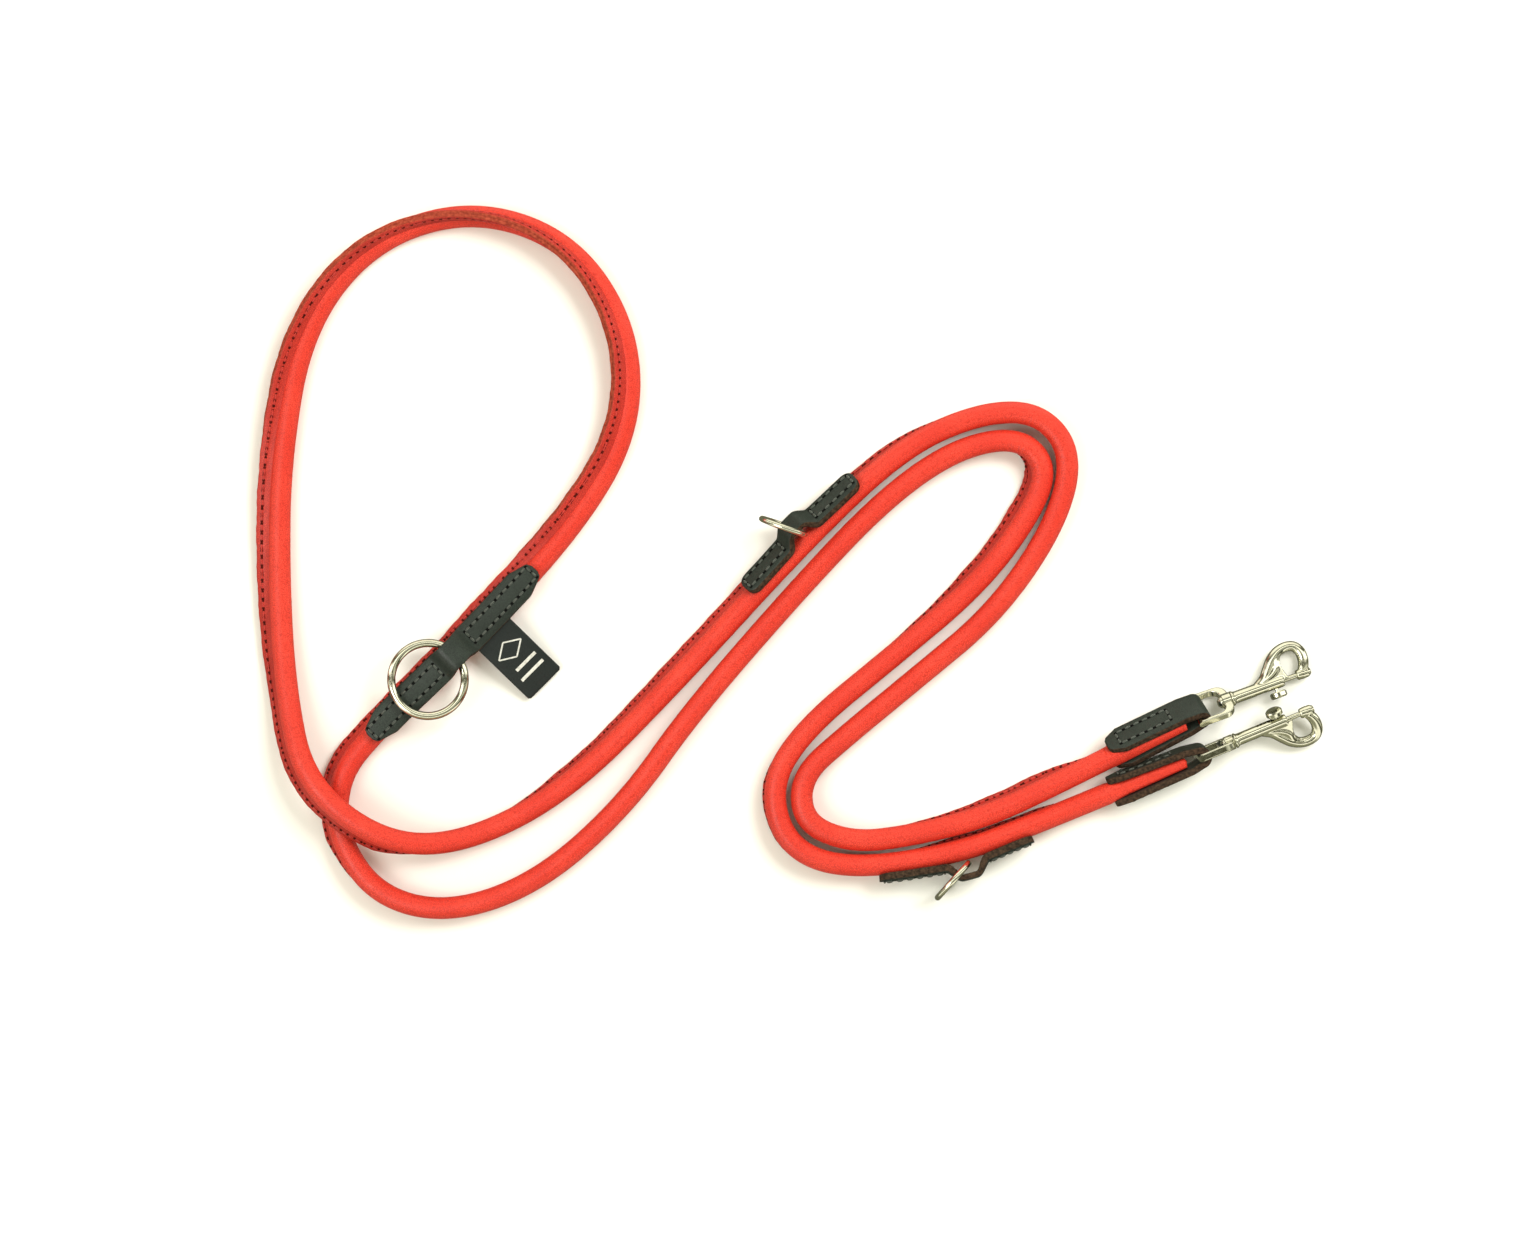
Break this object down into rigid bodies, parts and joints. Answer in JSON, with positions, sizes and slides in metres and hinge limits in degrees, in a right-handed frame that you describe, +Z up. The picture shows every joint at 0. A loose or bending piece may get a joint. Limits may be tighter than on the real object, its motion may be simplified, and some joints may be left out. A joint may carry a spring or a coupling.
{
  "type": "training leash",
  "caption": "Rolled leather dog training leash with a swivel bolt snap at each end and loose steel rings held along it by stitched leather keepers.",
  "frame": {"origin": "centre of the tabs, keepers, rings and snaps (the leash without its bending line), at the level of the surface that the leash lies on", "axes": "+X towards the two snaps as the leash lies, +Y across it towards the loop's far bend, +Z up from the surface it lies on"},
  "size_m": [0.4237, 0.2864, 0.0281],
  "materials": {
    "line_leather": "satin",
    "line_core": "matte",
    "black_leather": "satin",
    "label_leather": "satin",
    "thread": "matte",
    "nickel": "polished",
    "spring_steel": "satin"
  },
  "bodies": {
    "root": {"line_cover": "line_leather", "line_core": "line_core", "line_tongue_a": "line_leather", "line_tongue_b": "line_leather", "keeper_1": "black_leather", "keeper_1_thread_head": "thread", "keeper_1_thread_tail": "thread", "keeper_2": "black_leather", "keeper_2_thread_head": "thread", "keeper_2_thread_tail": "thread", "keeper_3": "black_leather", "keeper_3_thread_head": "thread", "keeper_3_thread_tail": "thread", "side_label": "label_leather", "hook_tab_a": "black_leather", "hook_tab_a_thread_front": "thread", "hook_tab_a_thread_back": "thread", "hook_tab_b": "black_leather", "hook_tab_b_thread_front": "thread", "hook_tab_b_thread_back": "thread"},
    "ring_1": {"ring_1": "nickel"},
    "ring_2": {"ring_2": "nickel"},
    "ring_3": {"ring_3": "nickel"},
    "eye_a": {"swivel_eye_a": "nickel"},
    "snap_a": {"snap_body_a": "nickel", "swivel_rivet_a": "nickel", "bolt_spring_a": "spring_steel"},
    "bolt_a": {"snap_bolt_a": "nickel", "thumb_knob_a": "nickel"},
    "eye_b": {"swivel_eye_b": "nickel"},
    "snap_b": {"snap_body_b": "nickel", "swivel_rivet_b": "nickel", "bolt_spring_b": "spring_steel"},
    "bolt_b": {"snap_bolt_b": "nickel", "thumb_knob_b": "nickel"}
  },
  "joints": [
    {"name": "ring_1_swing", "type": "hinge", "parent": "root", "child": "ring_1", "pos_m": [-0.15735, 0.01153, 0.0115], "axis": [-0.7094, 0.7048, 0], "range_deg": [0, 160]},
    {"name": "ring_2_swing", "type": "hinge", "parent": "root", "child": "ring_2", "pos_m": [-0.0195, 0.06034, 0.01139], "axis": [-0.6487, 0.2794, -0.7079], "range_deg": [-15, 35]},
    {"name": "ring_3_swing", "type": "hinge", "parent": "root", "child": "ring_3", "pos_m": [0.0481, -0.07225, 0.00967], "axis": [-0.0325, -0.1359, -0.9902], "range_deg": [-120, 15]},
    {"name": "eye_a_swing", "type": "hinge", "parent": "root", "child": "eye_a", "pos_m": [0.1389, -0.0117, 0.0091], "axis": [-0.2986, 0.5988, -0.7431], "range_deg": [-120, 60]},
    {"name": "snap_a_swivel", "type": "hinge", "parent": "eye_a", "child": "snap_a", "pos_m": [0.15314, -0.00666, 0.00744], "axis": [0.9371, 0.3316, -0.1093], "range_deg": [-150, 150]},
    {"name": "bolt_a_draw", "type": "slide", "parent": "snap_a", "child": "bolt_a", "axis": [-0.9371, -0.3316, 0.1093], "range_m": [0, 0.0075], "stiffness_N_per_m": 300, "springref_m": -0.003, "deforming": ["bolt_spring_a"]},
    {"name": "eye_b_swing", "type": "hinge", "parent": "root", "child": "eye_b", "pos_m": [0.1403, -0.0293, 0.0087], "axis": [-0.0466, 0.1126, -0.9925], "range_deg": [0, 120]},
    {"name": "snap_b_swivel", "type": "hinge", "parent": "eye_b", "child": "snap_b", "pos_m": [0.15434, -0.02348, 0.0087], "axis": [0.9239, 0.3827, 0], "range_deg": [-165, 105]},
    {"name": "bolt_b_draw", "type": "slide", "parent": "snap_b", "child": "bolt_b", "axis": [-0.9239, -0.3827, 0], "range_m": [0, 0.0075], "stiffness_N_per_m": 300, "springref_m": -0.003, "deforming": ["bolt_spring_b"]}
  ]
}
